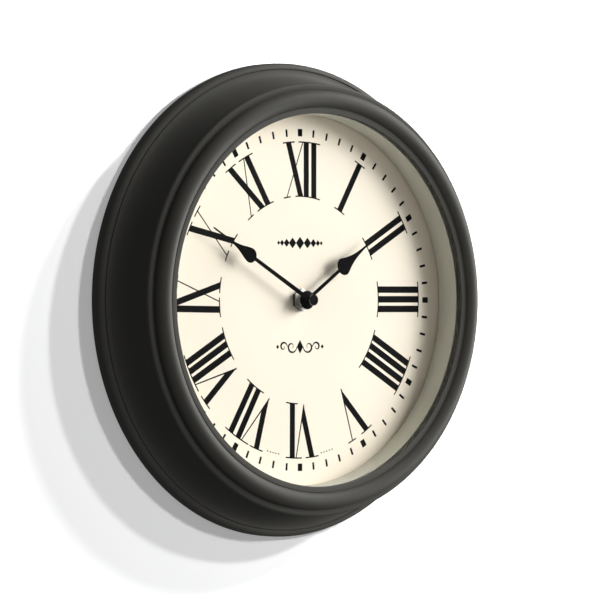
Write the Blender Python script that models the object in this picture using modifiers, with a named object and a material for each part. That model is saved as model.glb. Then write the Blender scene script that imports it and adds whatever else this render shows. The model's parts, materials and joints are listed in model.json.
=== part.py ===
"""A schoolhouse wall clock: round moulded case, Roman dial, two spade hands and a
battery quartz movement, as separate solids.

Sizes are in millimetres and in clock coordinates: X to the right and Y up as one
looks at the dial, Z out of the wall. One empty turns these into the world's frame,
where the clock faces -Y with +Z up. The origin is on the dial's axis, in the plane
of the wall.
"""

import math

import bmesh
import bpy
from mathutils import Matrix, Vector

MM = 0.001

# Case, in turned section: radius and height above the wall.
CASE_RADIUS = 150.0
CASE_STEPS = 48
OVOLO_RADIUS = 3.6
GROOVE_DEPTH = 0.6
SUNK = 0.2
COVE_OUTER = 145.5
COVE_THROAT = 133.5
COVE_FOOT = 8.6
COVE_CENTRE = 36.0
COVE_WALL = 2.5
SHELL_TOP = 35.3
RIM_INNER = 144.5
RIM_DEPTH = 6.2
SCREW_LAND_INNER = 138.0
BLIND_DEPTH = 2.8

# Ring that carries the dial and draws the shell up against the bezel.
SUPPORT = (116.0, 133.2)
SUPPORT_LOW = 16.8
SUPPORT_HIGH = 19.1

# Bezel.
BEZEL_RADIUS = 136.2
BEZEL_BACK = 35.6
BEZEL_RING_FRONT = 38.6
BEZEL_RING_INNER = 132.0
BEZEL_CHAMFER = 0.7
TORUS_RADIUS = 5.5
TORUS_CENTRE = (126.2, 40.4)
TORUS_ARC = (math.radians(157), math.radians(-18))
LIP_INNER = 117.2
LIP_OUTER = 120.7
LIP_FRONT = 42.9
LIP_GROOVE = 0.4
SKIRT = (128.2, 130.7)
SKIRT_LOW = 30.5
BODY_BACK = 37.5
GLASS_SEAT_RADIUS = 121.3
GLASS_SEAT_HEIGHT = 39.3
BOSS_RADIUS = 2.9
BOSS_CIRCLE = 126.2
BOSS_LOW = 19.4
BOSS_BORE = 1.5
BOSS_BORE_DEPTH = 11.0

# Glass, rehaut and dial.
GLASS = (121.0, 38.0, 39.0)
REHAUT = (117.3, 119.8)
REHAUT_HEIGHT = (20.7, 37.7)
DIAL_RADIUS = 122.0
DIAL = (19.4, 20.4)
CENTRE_HOLE = 4.3

# Back cover and hanger.
COVER_RADIUS = 144.0
COVER = (4.2, 5.9)
COVER_WINDOW = 58.4
COVER_KEYHOLE = (16.0, 26.0, 4.0)
COVER_SCREW_CIRCLE = 140.2
HANGER_HEIGHT = 108.0
HANGER_SIZE = (46.0, 26.0)
HANGER = (2.7, 3.9)
HANGER_SCREW_REACH = 18.0
KEYHOLE_RADIUS = 4.75
KEYHOLE_SLOT = 5.2
KEYHOLE_DROP = 4.0
KEYHOLE_RISE = 6.0

# Pan-head screws: head radius, head height, shank radius.
SCREW_HEAD = 2.8
SCREW_HEAD_HEIGHT = 1.4
SCREW_SHANK = 1.2
HEAD_GAP = 0.1
DRIVER_SLOT = ((-2.2, -0.3, -2.0), (2.2, 0.3, -0.8))
SCREW_HOLE = 1.6
HOLE_SIDES = 12
BEZEL_SCREW_LENGTH = 11.0
SHORT_SCREW_LENGTH = 4.6

# Movement housing.
MOVEMENT_HALF = 28.0
MOVEMENT_WALL = 1.0
MOVEMENT_FRONT = 18.3
MOVEMENT_BACK = 4.9
PARTITION = (-11.2, -9.9)
REAR_COVER = (3.0, 4.6)
BUSH_RADIUS = 4.0
BUSH_BORE = 2.8
BUSH_TOP = 24.4
BUSH_FLANGE = (5.5, 16.2, 17.0)
RUBBER_WASHER = (13.0, 18.55, 19.15)
DIAL_WASHER = (6.0, 20.5, 20.9)
NUT_ACROSS_FLATS = 12.7
NUT = (21.0, 23.4)
ARBOR_HOLE = 1.4
PINION_HOLE = 1.9
MIDDLE_PLATE_SIZE = (53.0, 35.9)
MIDDLE_PLATE_CENTRE = (0, 8.55)
MIDDLE_PLATE = (10.1, 10.7)

# Cell, contacts, stepping motor and circuit.
BATTERY_AXIS = (0, -19.1)
BATTERY_HEIGHT = 10.0
BATTERY_RADIUS = 7.0
BATTERY_ENDS = (-25.2, 24.4)
NUB = (2.75, 25.5)
CONTACT_SHEET = 0.4
CONTACT_REACH = 26.2
CONTACT_WIDTH = (-25.0, -13.0)
CONTACT_HEIGHTS = (5.2, 16.8)
STATOR = (6.4, 7.2)
STATOR_BORE = 3.5
CORE = ((-24.0, 1.9, 7.4), (-21.8, 20.5, 8.2))
COIL_CENTRE = (-22.9, 11.3)
COIL_HEIGHT = 7.8
COIL_HALF = 5.8
BOARD_SIZE = (13.4, 34.6)
BOARD_CENTRE = (19.7, 8.7)
BOARD = (5.4, 6.2)
CHIP = (2.4, 6.3, 7.3)
CHIP_CENTRE = (19.5, 2.0)
CRYSTAL_RADIUS = 1.0
CRYSTAL_HALF = 3.2
CRYSTAL_CENTRE = (21.0, 17.0)
CRYSTAL_HEIGHT = 7.35

# Wheel train: tooth counts, and the distances between arbors.
ROTOR_TEETH = 6
INTERMEDIATE_TEETH = 36
INTERMEDIATE_PINION = 8
SECOND_TEETH = 40
SECOND_PINION = 6
THIRD_TEETH = 45
THIRD_PINION = 6
CENTRE_TEETH = 48
CANNON_TEETH = 10
MOTION_TEETH = 30
MOTION_PINION = 8
HOUR_TEETH = 32
KNOB_TEETH = 10
THIRD_REACH = 10.0
MOTION_REACH = 8.4
INTERMEDIATE_REACH = 10.08
ROTOR_REACH = 7.0

# Directions from one arbor to the next, anticlockwise from +X.
THIRD_ANGLE = math.radians(35)
MOTION_ANGLE = math.radians(110)
KNOB_ANGLE = math.radians(70)
INTERMEDIATE_ANGLE = math.radians(150)
ROTOR_ANGLE = math.radians(170)

# Hands: clockwise from twelve, for ten minutes to two.
MINUTE_ANGLE = math.radians(300)
HOUR_ANGLE = math.radians(55)
HOUR_HAND = (27.4, 27.8)
MINUTE_HAND = (29.8, 30.2)
HOUR_BORE = 2.6
HOUR_COLLET = (3.4, 25.2)
MINUTE_BORE = 1.55

# Spade outlines: boss, stem, bulb's place, half width and round base, taper, needle, tip.
HOUR_SPADE = (5.9, (1.25, 1.15), 37.4, 5.8, 5.4, (8.4, 1.25), 0.5, 67.9)
MINUTE_SPADE = (4.5, (1.5, 1.2), 55.6, 4.67, 4.6, (9.3, 1.75), 0.55, 90.3)

# Cap nut on the minute shaft: head and collar radii, and the heights of their ends.
NUT_HEAD = (3.45, 33.1, 34.6)
NUT_COLLAR = (2.8, 30.5, 32.8)
NUT_BORE = (1.65, 33.6)

CHARCOAL = ("charcoal_case", (0.035, 0.035, 0.032), 0.45, 0.0)
GLASS_FINISH = ("clear_glass", (0.9, 0.95, 0.95), 0.02, 0.0)
CREAM = ("cream_dial", (0.93, 0.89, 0.77), 0.6, 0.0)
BLACK_METAL = ("black_hand", (0.01, 0.01, 0.012), 0.35, 0.0)
BLACK_PLASTIC = ("black_plastic", (0.02, 0.02, 0.022), 0.5, 0.0)
STEEL = ("zinc_steel", (0.6, 0.6, 0.6), 0.3, 1.0)
CHROME = ("chrome", (0.8, 0.8, 0.8), 0.12, 1.0)
BRASS = ("brass", (0.72, 0.53, 0.22), 0.3, 1.0)
RUBBER = ("black_rubber", (0.02, 0.02, 0.02), 0.8, 0.0)
WHITE_GEAR = ("white_acetal", (0.85, 0.85, 0.82), 0.4, 0.0)
COPPER = ("copper_wire", (0.72, 0.3, 0.14), 0.35, 1.0)
GREEN_BOARD = ("green_board", (0.02, 0.22, 0.08), 0.5, 0.0)
FERRITE = ("dark_magnet", (0.06, 0.06, 0.065), 0.55, 0.0)
CELL = ("cell_jacket", (0.05, 0.16, 0.3), 0.35, 0.0)

for old in list(bpy.data.objects):
    bpy.data.objects.remove(old)

parts = bpy.data.collections.new("schoolhouse_wall_clock")
cutters = bpy.data.collections.new("cutters")
bpy.context.scene.collection.children.link(parts)
bpy.context.scene.collection.children.link(cutters)

clock = bpy.data.objects.new("clock", None)
clock.rotation_euler = (math.pi / 2, 0, 0)
parts.objects.link(clock)


# ---------------------------------------------------------------- building blocks


def polar(radius, angle):
    return (radius * math.cos(angle), radius * math.sin(angle))


def shifted(centre, reach, angle):
    x, y = polar(reach, angle)
    return (centre[0] + x, centre[1] + y)


def arc(centre, radius, start, stop, count):
    """Points along an arc, both ends included."""
    points = []
    for i in range(count):
        angle = start + (stop - start) * i / (count - 1)
        points.append(shifted(centre, radius, angle))
    return points


def circle(radius, count, centre=(0, 0)):
    return [shifted(centre, radius, 2 * math.pi * i / count) for i in range(count)]


def rounded_rectangle(width, height, radius, centre=(0, 0), count=4):
    points = []
    for quarter in range(4):
        turn = quarter * math.pi / 2
        x = width / 2 - radius if quarter in (0, 3) else radius - width / 2
        y = height / 2 - radius if quarter in (0, 1) else radius - height / 2
        corner = (centre[0] + x, centre[1] + y)
        points += arc(corner, radius, turn, turn + math.pi / 2, count)
    return points


def profile_mesh(points, closed=True):
    """A section in the XZ plane, for a Screw modifier to turn about Z."""
    mesh = bpy.data.meshes.new("section")
    edges = [(i, i + 1) for i in range(len(points) - 1)]
    if closed:
        edges.append((len(points) - 1, 0))
    mesh.from_pydata([(x * MM, 0, z * MM) for x, z in points], edges, [])
    return mesh


def plate_mesh(loops, low, high):
    """A flat outline with its holes, as a sheet from low to high along Z."""
    curve = bpy.data.curves.new("outline", "CURVE")
    curve.dimensions = "2D"
    curve.fill_mode = "BOTH"
    curve.extrude = (high - low) / 2 * MM
    for loop in loops:
        spline = curve.splines.new("POLY")
        spline.points.add(len(loop) - 1)
        spline.use_cyclic_u = True
        for point, (x, y) in zip(spline.points, loop):
            point.co = (x * MM, y * MM, 0, 1)
    guide = bpy.data.objects.new("outline", curve)
    cutters.objects.link(guide)
    graph = bpy.context.evaluated_depsgraph_get()
    mesh = bpy.data.meshes.new_from_object(guide.evaluated_get(graph))
    bpy.data.objects.remove(guide)
    shape = bmesh.new()
    shape.from_mesh(mesh)
    bmesh.ops.remove_doubles(shape, verts=shape.verts, dist=1e-6)
    bmesh.ops.translate(shape, verts=shape.verts, vec=(0, 0, (low + high) / 2 * MM))
    bmesh.ops.recalc_face_normals(shape, faces=shape.faces)
    shape.to_mesh(mesh)
    shape.free()
    return mesh


def cylinder_mesh(radius, low, high, centre=(0, 0), count=24):
    mesh = bpy.data.meshes.new("cylinder")
    shape = bmesh.new()
    place = Matrix.Translation(Vector((*centre, (low + high) / 2)) * MM)
    bmesh.ops.create_cone(
        shape,
        cap_ends=True,
        segments=count,
        radius1=radius * MM,
        radius2=radius * MM,
        depth=(high - low) * MM,
        matrix=place,
    )
    shape.to_mesh(mesh)
    shape.free()
    return mesh


def box_mesh(low, high):
    """A box between two corners."""
    mesh = bpy.data.meshes.new("box")
    shape = bmesh.new()
    middle = (Vector(low) + Vector(high)) / 2 * MM
    size = (Vector(high) - Vector(low)) * MM
    place = Matrix.Translation(middle) @ Matrix.Diagonal((*size, 1))
    bmesh.ops.create_cube(shape, size=1, matrix=place)
    shape.to_mesh(mesh)
    shape.free()
    return mesh


def finish_material(finish):
    name, colour, roughness, metallic = finish
    material = bpy.data.materials.new(name)
    material.use_nodes = True
    shader = material.node_tree.nodes["Principled BSDF"]
    shader.inputs["Base Color"].default_value = (*colour, 1)
    shader.inputs["Roughness"].default_value = roughness
    shader.inputs["Metallic"].default_value = metallic
    material.diffuse_color = (*colour, 1)
    return material


def add_part(name, mesh, finish, centre=(0, 0), height=0.0):
    """One sub-part, with its origin at the given place on the clock."""
    part = bpy.data.objects.new(name, mesh)
    part.parent = clock
    part.location = Vector((*centre, height)) * MM
    if not mesh.materials:
        mesh.materials.append(finish_material(finish))
    parts.objects.link(part)
    return part


def turn(part, steps):
    """Sweep the part's section once round its Z axis."""
    screw = part.modifiers.new("turned", "SCREW")
    screw.axis = "Z"
    screw.angle = 2 * math.pi
    screw.steps = steps
    screw.render_steps = steps
    screw.use_merge_vertices = True
    screw.merge_threshold = 0.00001


def combine(part, operation, *meshes, steps=0):
    """Join or cut the part with other solids given in the part's own frame."""
    for mesh in meshes:
        tool = bpy.data.objects.new(part.name + "_tool", mesh)
        tool.parent = part
        tool.hide_render = True
        tool.display_type = "WIRE"
        cutters.objects.link(tool)
        if steps:
            turn(tool, steps)
        boolean = part.modifiers.new(operation.lower(), "BOOLEAN")
        boolean.operation = operation
        boolean.object = tool


def gear_outline(teeth, module, phase=0.0):
    """Straight-flanked teeth, thinned for running clearance, one tooth at phase."""
    tip = module * (teeth / 2 + 0.8)
    root = module * (teeth / 2 - 1.25)
    pitch = 2 * math.pi / teeth
    corners = ((root, -0.29), (tip, -0.09), (tip, 0.09), (root, 0.29))
    points = []
    for i in range(teeth):
        for radius, share in corners:
            points.append(polar(radius, phase + pitch * (i + share)))
    return points


def meshing_phase(teeth, line_angle):
    """The phase that turns a gap, not a tooth, towards the wheel at line_angle."""
    return line_angle + math.pi / teeth


# ---------------------------------------------------------- places of the arbors

THIRD_AXIS = polar(THIRD_REACH, THIRD_ANGLE)
MOTION_AXIS = polar(MOTION_REACH, MOTION_ANGLE)
KNOB_AXIS = shifted(MOTION_AXIS, MOTION_REACH, KNOB_ANGLE)
INTERMEDIATE_AXIS = polar(INTERMEDIATE_REACH, INTERMEDIATE_ANGLE)
ROTOR_AXIS = shifted(INTERMEDIATE_AXIS, ROTOR_REACH, ROTOR_ANGLE)


# --------------------------------------------------------------------------- case


def cove(wall, start, stop, count):
    """The concave quarter-ellipse of the case, moved inwards by a wall."""
    points = []
    for i in range(count):
        t = start + (stop - start) * i / (count - 1)
        x = COVE_OUTER - (COVE_OUTER - COVE_THROAT + wall) * math.cos(t)
        z = COVE_CENTRE - (COVE_CENTRE - COVE_FOOT + wall) * math.sin(t)
        points.append((x, z))
    return points


def cove_angle_at_height(wall, height):
    return math.asin((COVE_CENTRE - height) / (COVE_CENTRE - COVE_FOOT + wall))


def cove_angle_at_radius(wall, radius):
    return math.acos((COVE_OUTER - radius) / (COVE_OUTER - COVE_THROAT + wall))


def case_shell():
    top = cove_angle_at_height(0, SHELL_TOP)
    section = cove(0, top, math.pi / 2, 9)
    ovolo_centre = (CASE_RADIUS - OVOLO_RADIUS, COVE_FOOT - SUNK - OVOLO_RADIUS)
    groove_floor = ovolo_centre[1] + OVOLO_RADIUS - GROOVE_DEPTH
    section.append((COVE_OUTER + SUNK, groove_floor))
    section.append((ovolo_centre[0] - SUNK, groove_floor))
    section += arc(ovolo_centre, OVOLO_RADIUS, math.pi / 2, 0, 5)
    section += [(CASE_RADIUS, 0), (RIM_INNER, 0), (RIM_INNER, RIM_DEPTH)]
    section.append((SCREW_LAND_INNER, RIM_DEPTH))
    land = cove_angle_at_radius(COVE_WALL, SCREW_LAND_INNER)
    section += cove(COVE_WALL, land, cove_angle_at_height(COVE_WALL, SHELL_TOP), 7)
    part = add_part("case_shell", profile_mesh(section), CHARCOAL)
    turn(part, CASE_STEPS)
    for i in range(4):
        hole = polar(COVER_SCREW_CIRCLE, i * math.pi / 2)
        blind = cylinder_mesh(SCREW_HOLE, RIM_DEPTH - 1, RIM_DEPTH + BLIND_DEPTH, hole, HOLE_SIDES)
        combine(part, "DIFFERENCE", blind)


def dial_support_ring():
    loops = [circle(radius, CASE_STEPS) for radius in reversed(SUPPORT)]
    for i in range(4):
        centre = polar(BOSS_CIRCLE, math.pi / 4 + i * math.pi / 2)
        loops.append(circle(SCREW_HOLE, HOLE_SIDES, centre))
    ring = plate_mesh(loops, SUPPORT_LOW, SUPPORT_HIGH)
    add_part("dial_support_ring", ring, BLACK_PLASTIC)


def bezel_ring():
    rim = BEZEL_RADIUS - BEZEL_CHAMFER
    groove = (LIP_OUTER + SUNK, LIP_FRONT - LIP_GROOVE)
    quirk = (BEZEL_RING_INNER - 2 * SUNK, BEZEL_RING_FRONT - 0.5)
    section = [(LIP_INNER, LIP_FRONT), (LIP_OUTER, LIP_FRONT), groove]
    section += arc(TORUS_CENTRE, TORUS_RADIUS, *TORUS_ARC, 11)
    section += [quirk, (BEZEL_RING_INNER, BEZEL_RING_FRONT), (rim, BEZEL_RING_FRONT)]
    section.append((BEZEL_RADIUS, BEZEL_RING_FRONT - BEZEL_CHAMFER))
    section += [(BEZEL_RADIUS, BEZEL_BACK), (SKIRT[1], BEZEL_BACK), (SKIRT[1], SKIRT_LOW)]
    section += [(SKIRT[0], SKIRT_LOW), (SKIRT[0], BODY_BACK), (GLASS_SEAT_RADIUS, BODY_BACK)]
    section += [(GLASS_SEAT_RADIUS, GLASS_SEAT_HEIGHT), (LIP_INNER, GLASS_SEAT_HEIGHT)]
    part = add_part("bezel_ring", profile_mesh(section), CHARCOAL)
    turn(part, CASE_STEPS)
    for i in range(4):
        centre = polar(BOSS_CIRCLE, math.pi / 4 + i * math.pi / 2)
        boss = cylinder_mesh(BOSS_RADIUS, BOSS_LOW, BODY_BACK + 1, centre, 16)
        bore_top = BOSS_LOW + BOSS_BORE_DEPTH
        bore = cylinder_mesh(BOSS_BORE, BOSS_LOW - 1, bore_top, centre, HOLE_SIDES)
        combine(part, "UNION", boss)
        combine(part, "DIFFERENCE", bore)


def case_front():
    radius, low, high = GLASS
    add_part("glass_lens", cylinder_mesh(radius, low, high, count=CASE_STEPS), GLASS_FINISH)
    inner, outer = REHAUT
    low, high = REHAUT_HEIGHT
    section = [(inner, high), (outer, high), (outer, low), (inner, low)]
    turn(add_part("rehaut_ring", profile_mesh(section), CREAM), CASE_STEPS)
    low, high = DIAL
    section = [(CENTRE_HOLE, high), (DIAL_RADIUS, high), (DIAL_RADIUS, low), (CENTRE_HOLE, low)]
    turn(add_part("dial_plate", profile_mesh(section), CREAM), CASE_STEPS)


def keyhole_outline():
    """A round entry below and a narrow slot above, where the clock hangs on a nail."""
    half = KEYHOLE_SLOT / 2
    entry = (0, HANGER_HEIGHT - KEYHOLE_DROP)
    seat = (0, HANGER_HEIGHT + KEYHOLE_RISE - half)
    shoulder = math.acos(half / KEYHOLE_RADIUS)
    points = arc(entry, KEYHOLE_RADIUS, math.pi - shoulder, 2 * math.pi + shoulder, 13)
    points += arc(seat, half, 0, math.pi, 7)
    return points


def back_parts():
    loops = [circle(COVER_RADIUS, CASE_STEPS)]
    loops.append(rounded_rectangle(COVER_WINDOW, COVER_WINDOW, 3))
    loops.append(rounded_rectangle(*COVER_KEYHOLE, (0, HANGER_HEIGHT)))
    for i in range(4):
        centre = polar(COVER_SCREW_CIRCLE, i * math.pi / 2)
        loops.append(circle(SCREW_HOLE, HOLE_SIDES, centre))
    hanger_loops = [rounded_rectangle(*HANGER_SIZE, 4, (0, HANGER_HEIGHT)), keyhole_outline()]
    for side in (-1, 1):
        hole = circle(SCREW_HOLE, HOLE_SIDES, (side * HANGER_SCREW_REACH, HANGER_HEIGHT))
        loops.append(hole)
        hanger_loops.append(hole)
    add_part("back_cover", plate_mesh(loops, *COVER), BLACK_PLASTIC)
    add_part("hanger_plate", plate_mesh(hanger_loops, *HANGER), STEEL)


def screw_mesh(length):
    """A pan-head screw that points along +Z, its shoulder at the origin."""
    section = [(0, length), (SCREW_SHANK - 0.5, length), (SCREW_SHANK, length - 0.8)]
    section += [(SCREW_SHANK, 0), (SCREW_HEAD, 0), (SCREW_HEAD, -0.7)]
    section += [(SCREW_HEAD - 0.9, -SCREW_HEAD_HEIGHT), (0, -SCREW_HEAD_HEIGHT)]
    return profile_mesh(section, closed=False)


def screws():
    long_mesh = screw_mesh(BEZEL_SCREW_LENGTH)
    short_mesh = screw_mesh(SHORT_SCREW_LENGTH)
    places = []
    for i in range(4):
        corner = polar(BOSS_CIRCLE, math.pi / 4 + i * math.pi / 2)
        edge = polar(COVER_SCREW_CIRCLE, i * math.pi / 2)
        places.append((f"bezel_screw_{i + 1}", long_mesh, corner, SUPPORT_LOW - HEAD_GAP))
        places.append((f"cover_screw_{i + 1}", short_mesh, edge, COVER[0] - HEAD_GAP))
    for i, side in enumerate((-1, 1)):
        place = (side * HANGER_SCREW_REACH, HANGER_HEIGHT)
        places.append((f"hanger_screw_{i + 1}", short_mesh, place, HANGER[0] - HEAD_GAP))
    for name, mesh, centre, height in places:
        part = add_part(name, mesh, STEEL, centre, height)
        turn(part, 10)
        combine(part, "DIFFERENCE", box_mesh(*DRIVER_SLOT))


# -------------------------------------------------------------------------- hands


def hand_outline(boss, stem, bulb_at, bulb, base, taper, needle, tip):
    """A spade hand that points along +Y: boss, stem, round-based bulb and needle.

    stem is its half width at the boss and at the bulb, base is how far the bulb's
    round end reaches towards the boss, and taper is the length and the power of the
    curve from the bulb down to the needle.
    """
    length, power = taper
    corner = math.asin(stem[1] / bulb)
    side = [(stem[0], math.sqrt(boss * boss - stem[0] * stem[0]))]
    for i in range(7):
        t = corner + (math.pi / 2 - corner) * i / 6
        side.append((bulb * math.sin(t), bulb_at - base * math.cos(t)))
    steps = 12
    for i in range(1, steps + 1):
        reach = 2.6 * length * i / steps
        width = needle + (bulb - needle) * math.exp(-((reach / length) ** power))
        side.append((width, bulb_at + reach))
    side.append((needle, tip - 1.2))
    start = math.atan2(side[0][1], side[0][0])
    points = arc((0, 0), boss, math.pi - start, 2 * math.pi + start, 19)[1:-1]
    return side + [(0, tip)] + [(-x, y) for x, y in reversed(side)] + points


def turned_to(points, clockwise):
    spin = Matrix.Rotation(-clockwise, 2)
    return [tuple(spin @ Vector(point)) for point in points]


def hands():
    bore = circle(HOUR_BORE, 24)
    outline = turned_to(hand_outline(*HOUR_SPADE), HOUR_ANGLE)
    hour = add_part("hour_hand", plate_mesh([outline, bore], *HOUR_HAND), BLACK_METAL)
    radius, foot = HOUR_COLLET
    collet = plate_mesh([circle(radius, 24), bore], foot, HOUR_HAND[0] + SUNK)
    combine(hour, "UNION", collet)
    outline = turned_to(hand_outline(*MINUTE_SPADE), MINUTE_ANGLE)
    loops = [outline, circle(MINUTE_BORE, 24)]
    add_part("minute_hand", plate_mesh(loops, *MINUTE_HAND), BLACK_METAL)
    head, under, crown = NUT_HEAD
    collar, foot, neck = NUT_COLLAR
    bore, roof = NUT_BORE
    chamfer = 0.35
    section = [(0, crown), (head - chamfer, crown), (head, crown - chamfer), (head, under)]
    section += [(collar, neck), (collar, foot), (bore, foot), (bore, roof), (0, roof)]
    turn(add_part("hand_nut", profile_mesh(section, closed=False), BLACK_METAL), 24)


# ------------------------------------------------------------- movement's housing


def fixing_stack():
    """Bush, washers and nut that clamp the dial to the movement."""
    flange, foot, ledge = BUSH_FLANGE
    chamfer = 0.3
    section = [(BUSH_BORE, BUSH_TOP), (BUSH_RADIUS - chamfer, BUSH_TOP)]
    section += [(BUSH_RADIUS, BUSH_TOP - chamfer), (BUSH_RADIUS, ledge)]
    section += [(flange, ledge), (flange, foot), (BUSH_BORE, foot)]
    turn(add_part("threaded_bush", profile_mesh(section), CHROME), 32)
    hole = circle(CENTRE_HOLE, 32)
    radius, low, high = RUBBER_WASHER
    add_part("rubber_washer", plate_mesh([circle(radius, 32), hole], low, high), RUBBER)
    radius, low, high = DIAL_WASHER
    add_part("dial_washer", plate_mesh([circle(radius, 32), hole], low, high), CHROME)
    corner = NUT_ACROSS_FLATS / math.sqrt(3)
    hexagon = [polar(corner, math.radians(30 + 60 * i)) for i in range(6)]
    add_part("fixing_nut", plate_mesh([hexagon, hole], *NUT), CHROME)


def housing():
    side = 2 * MOVEMENT_HALF
    block = plate_mesh([rounded_rectangle(side, side, 3)], MOVEMENT_BACK, MOVEMENT_FRONT)
    front = add_part("movement_front_case", block, BLACK_PLASTIC)
    inside = MOVEMENT_HALF - MOVEMENT_WALL
    deep = MOVEMENT_FRONT - MOVEMENT_WALL
    works = box_mesh((-inside, PARTITION[1], 0), (inside, inside, deep))
    bay = box_mesh((-inside, -inside, 0), (inside, PARTITION[0], deep))
    bush_hole = cylinder_mesh(CENTRE_HOLE, deep - 1, MOVEMENT_FRONT + 1, count=32)
    combine(front, "DIFFERENCE", works, bay, bush_hole)
    top = MOVEMENT_HALF
    low = PARTITION[0] + SUNK
    plate = rounded_rectangle(side, top - low, 2, (0, (top + low) / 2))
    knob_hole = circle(ARBOR_HOLE, 16, KNOB_AXIS)
    add_part("movement_rear_cover", plate_mesh([plate, knob_hole], *REAR_COVER), BLACK_PLASTIC)
    plate = rounded_rectangle(*MIDDLE_PLATE_SIZE, 2, MIDDLE_PLATE_CENTRE)
    loops = [plate, circle(PINION_HOLE, 16, THIRD_AXIS), knob_hole]
    add_part("middle_plate", plate_mesh(loops, *MIDDLE_PLATE), WHITE_GEAR)


def battery_parts():
    """A cell on its side, its positive nub to the right, between two sheet contacts."""
    foot, shoulder = BATTERY_ENDS
    nub, crown = NUB
    radius = BATTERY_RADIUS
    bevel = 0.4
    section = [(0, crown), (nub - bevel, crown), (nub, crown - bevel), (nub, shoulder)]
    section += [(radius - bevel, shoulder), (radius, shoulder - bevel)]
    section += [(radius, foot + bevel), (radius - bevel, foot), (0, foot)]
    mesh = profile_mesh(section, closed=False)
    battery = add_part("battery", mesh, CELL, BATTERY_AXIS, BATTERY_HEIGHT)
    battery.rotation_euler = (0, math.pi / 2, 0)
    turn(battery, 24)
    low, high = CONTACT_HEIGHTS
    near, far = CONTACT_WIDTH
    outer = CONTACT_REACH + CONTACT_SHEET
    plus = box_mesh((CONTACT_REACH, near, low), (outer, far, high))
    add_part("contact_positive", plus, STEEL)
    left = -CONTACT_REACH - 0.1
    spring = (foot - SUNK, BATTERY_AXIS[1])
    tongue = [(left - CONTACT_SHEET, near), (left, near), (left, near + 3), spring]
    tongue += [(left, far - 3), (left, far), (left - CONTACT_SHEET, far)]
    add_part("contact_negative", plate_mesh([tongue], low, high), STEEL)


# ---------------------------------------------------- stepping motor and circuit

def motor():
    left, low = -25.4, 1.6
    right, high = -11.5, 20.8
    outline = [(left, low), (right, low), (right, high), (left, high), (left, high - 2.2)]
    outline += [(-14.6, high - 2.2), (-14.6, 10.8), (-20.0, 10.8), (-20.0, 4.0), (left, 4.0)]
    rotor_hole = circle(STATOR_BORE, 24, ROTOR_AXIS)
    add_part("stator", plate_mesh([outline, rotor_hole], *STATOR), STEEL)
    add_part("coil_core", box_mesh(*CORE), STEEL)
    tube = (1.3, 1.55)
    flange = 2.1
    inner = COIL_HALF + 0.1
    outer = inner + 0.8
    bobbin = [(tube[0], outer), (flange, outer), (flange, inner), (tube[1], inner)]
    bobbin += [(x, -z) for x, z in reversed(bobbin)]
    winding = [(1.65, COIL_HALF), (2.05, COIL_HALF), (2.05, -COIL_HALF), (1.65, -COIL_HALF)]
    for name, section, finish in (
        ("coil_bobbin", bobbin, WHITE_GEAR),
        ("coil_winding", winding, COPPER),
    ):
        part = add_part(name, profile_mesh(section), finish, COIL_CENTRE, COIL_HEIGHT)
        part.rotation_euler = (-math.pi / 2, 0, 0)
        turn(part, 20)


def circuit():
    board = plate_mesh([rounded_rectangle(*BOARD_SIZE, 1, BOARD_CENTRE)], *BOARD)
    add_part("circuit_board", board, GREEN_BOARD)
    chip = cylinder_mesh(*CHIP, CHIP_CENTRE, 20)
    add_part("timing_chip", chip, BLACK_PLASTIC)
    crystal = cylinder_mesh(CRYSTAL_RADIUS, -CRYSTAL_HALF, CRYSTAL_HALF, count=16)
    can = add_part("quartz_crystal", crystal, CHROME, CRYSTAL_CENTRE, CRYSTAL_HEIGHT)
    can.rotation_euler = (math.pi / 2, 0, 0)


# ----------------------------------------------------------------------- wheels


def wheel(name, gears, arbor, finish, centre=(0, 0), bore=None):
    """Gears stacked on one arbor. A gear is teeth, module, phase, low and high."""
    meshes = []
    for teeth, module, phase, low, high in gears:
        loops = [gear_outline(teeth, module, phase)]
        if bore:
            loops.append(circle(bore, 16))
        meshes.append(plate_mesh(loops, low, high))
    part = add_part(name, meshes[0], finish, centre)
    combine(part, "UNION", *meshes[1:])
    if arbor:
        radius, low, high = arbor
        combine(part, "UNION", cylinder_mesh(radius, low, high, count=12))
    return part


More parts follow.
